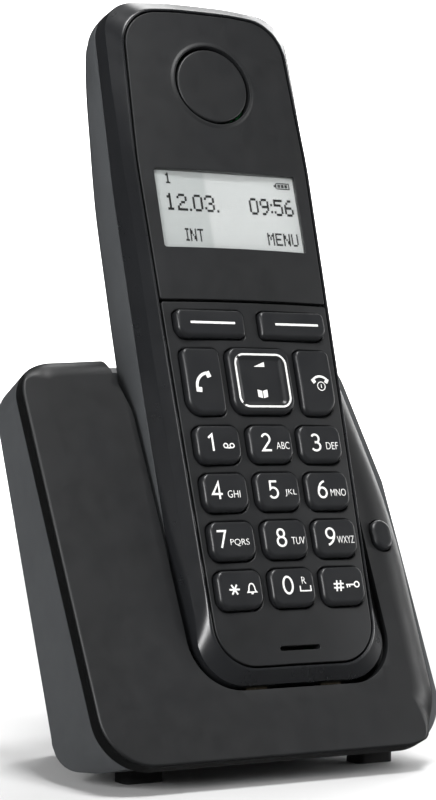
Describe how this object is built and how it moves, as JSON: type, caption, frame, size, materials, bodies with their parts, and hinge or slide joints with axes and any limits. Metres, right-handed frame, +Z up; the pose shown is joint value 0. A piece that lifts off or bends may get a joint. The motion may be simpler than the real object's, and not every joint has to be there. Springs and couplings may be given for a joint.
{
  "type": "cordless phone with base",
  "caption": "Cordless telephone handset with keypad and small display, standing upright in a leaning charging base.",
  "frame": {"origin": "centre of the bounding box on the table plane, under the feet", "axes": "+X to the right of a person facing the keypad, +Y towards the rear, +Z up; the handset stands in the cradle at rest"},
  "size_m": [0.0871, 0.0668, 0.1677],
  "materials": {
    "shell_abs": "satin textured",
    "panel_abs": "satin",
    "cover_abs": "satin with polished edge",
    "key_plastic": "satin",
    "lens_acrylic": "polished",
    "display_glass": "polished",
    "holder_plastic": "moulded",
    "silicone": "matt",
    "foil": "satin",
    "circuit_board": "solder mask",
    "spring_bronze": "bright",
    "speaker_steel": "satin",
    "cell_jacket": "satin sleeve",
    "screw_steel": "zinc plated",
    "foot_rubber": "matt"
  },
  "bodies": {
    "base": {"base_front_cover": "cover_abs", "cradle_pocket": "shell_abs", "base_rear_housing": "shell_abs", "base_bottom_cover": "shell_abs", "charge_springs": "spring_bronze", "base_pcb": "circuit_board", "base_antennas": "spring_bronze", "page_switch": "holder_plastic", "line_socket": "holder_plastic", "power_socket": "holder_plastic", "rubber_feet": "foot_rubber", "base_screws": "screw_steel"},
    "handset": {"handset_front_frame": "shell_abs", "display_fascia": "shell_abs", "keypad_panel": "panel_abs", "earpiece_disc": "panel_abs", "display_lens": "lens_acrylic", "lcd_module": "display_glass", "lcd_holder": "holder_plastic", "keypad_mat": "silicone", "dome_foil": "foil", "handset_pcb": "circuit_board", "handset_antenna": "spring_bronze", "receiver_capsule": "speaker_steel", "ringer_speaker": "speaker_steel", "microphone": "holder_plastic", "handset_rear_shell": "shell_abs", "battery_cell_1": "cell_jacket", "battery_cell_2": "cell_jacket", "battery_contacts": "spring_bronze", "charge_contacts": "spring_bronze", "handset_screws": "screw_steel"},
    "battery_cover": {"battery_cover": "shell_abs"},
    "nav_key": {"nav_key": "key_plastic"},
    "paging_key": {"paging_key": "cover_abs"},
    "soft_key_left": {"soft_key_left": "key_plastic"},
    "soft_key_right": {"soft_key_right": "key_plastic"},
    "talk_key": {"talk_key": "key_plastic"},
    "end_key": {"end_key": "key_plastic"},
    "key_1": {"key_1": "key_plastic"},
    "key_2": {"key_2": "key_plastic"},
    "key_3": {"key_3": "key_plastic"},
    "key_4": {"key_4": "key_plastic"},
    "key_5": {"key_5": "key_plastic"},
    "key_6": {"key_6": "key_plastic"},
    "key_7": {"key_7": "key_plastic"},
    "key_8": {"key_8": "key_plastic"},
    "key_9": {"key_9": "key_plastic"},
    "key_star": {"key_star": "key_plastic"},
    "key_0": {"key_0": "key_plastic"},
    "key_hash": {"key_hash": "key_plastic"}
  },
  "joints": [
    {"name": "handset_lift", "type": "slide", "parent": "base", "child": "handset", "axis": [0, 0.2886, 0.9574], "range_m": [0, 0.075]},
    {"name": "battery_cover_slide", "type": "slide", "parent": "handset", "child": "battery_cover", "axis": [0, -0.2886, -0.9574], "range_m": [0, 0.004]},
    {"name": "nav_key_rock", "type": "hinge", "parent": "handset", "child": "nav_key", "pos_m": [0.0063, -0.00724, 0.08095], "axis": [1, 0, 0], "range_deg": [-3.5, 3.5], "stiffness_Nm_per_rad": 0.1},
    {"name": "paging_key_press", "type": "slide", "parent": "base", "child": "paging_key", "axis": [0, 0.907, -0.4212], "range_m": [0, 0.0008], "stiffness_N_per_m": 1200},
    {"name": "soft_key_left_press", "type": "slide", "parent": "handset", "child": "soft_key_left", "axis": [0, 0.9574, -0.2886], "range_m": [0, 0.0008], "stiffness_N_per_m": 1200},
    {"name": "soft_key_right_press", "type": "slide", "parent": "handset", "child": "soft_key_right", "axis": [0, 0.9574, -0.2886], "range_m": [0, 0.0008], "stiffness_N_per_m": 1200},
    {"name": "talk_key_press", "type": "slide", "parent": "handset", "child": "talk_key", "axis": [0, 0.9574, -0.2886], "range_m": [0, 0.0008], "stiffness_N_per_m": 1200},
    {"name": "end_key_press", "type": "slide", "parent": "handset", "child": "end_key", "axis": [0, 0.9574, -0.2886], "range_m": [0, 0.0008], "stiffness_N_per_m": 1200},
    {"name": "key_1_press", "type": "slide", "parent": "handset", "child": "key_1", "axis": [0, 0.9574, -0.2886], "range_m": [0, 0.0008], "stiffness_N_per_m": 1200},
    {"name": "key_2_press", "type": "slide", "parent": "handset", "child": "key_2", "axis": [0, 0.9574, -0.2886], "range_m": [0, 0.0008], "stiffness_N_per_m": 1200},
    {"name": "key_3_press", "type": "slide", "parent": "handset", "child": "key_3", "axis": [0, 0.9574, -0.2886], "range_m": [0, 0.0008], "stiffness_N_per_m": 1200},
    {"name": "key_4_press", "type": "slide", "parent": "handset", "child": "key_4", "axis": [0, 0.9574, -0.2886], "range_m": [0, 0.0008], "stiffness_N_per_m": 1200},
    {"name": "key_5_press", "type": "slide", "parent": "handset", "child": "key_5", "axis": [0, 0.9574, -0.2886], "range_m": [0, 0.0008], "stiffness_N_per_m": 1200},
    {"name": "key_6_press", "type": "slide", "parent": "handset", "child": "key_6", "axis": [0, 0.9574, -0.2886], "range_m": [0, 0.0008], "stiffness_N_per_m": 1200},
    {"name": "key_7_press", "type": "slide", "parent": "handset", "child": "key_7", "axis": [0, 0.9574, -0.2886], "range_m": [0, 0.0008], "stiffness_N_per_m": 1200},
    {"name": "key_8_press", "type": "slide", "parent": "handset", "child": "key_8", "axis": [0, 0.9574, -0.2886], "range_m": [0, 0.0008], "stiffness_N_per_m": 1200},
    {"name": "key_9_press", "type": "slide", "parent": "handset", "child": "key_9", "axis": [0, 0.9574, -0.2886], "range_m": [0, 0.0008], "stiffness_N_per_m": 1200},
    {"name": "key_star_press", "type": "slide", "parent": "handset", "child": "key_star", "axis": [0, 0.9574, -0.2886], "range_m": [0, 0.0008], "stiffness_N_per_m": 1200},
    {"name": "key_0_press", "type": "slide", "parent": "handset", "child": "key_0", "axis": [0, 0.9574, -0.2886], "range_m": [0, 0.0008], "stiffness_N_per_m": 1200},
    {"name": "key_hash_press", "type": "slide", "parent": "handset", "child": "key_hash", "axis": [0, 0.9574, -0.2886], "range_m": [0, 0.0008], "stiffness_N_per_m": 1200}
  ]
}
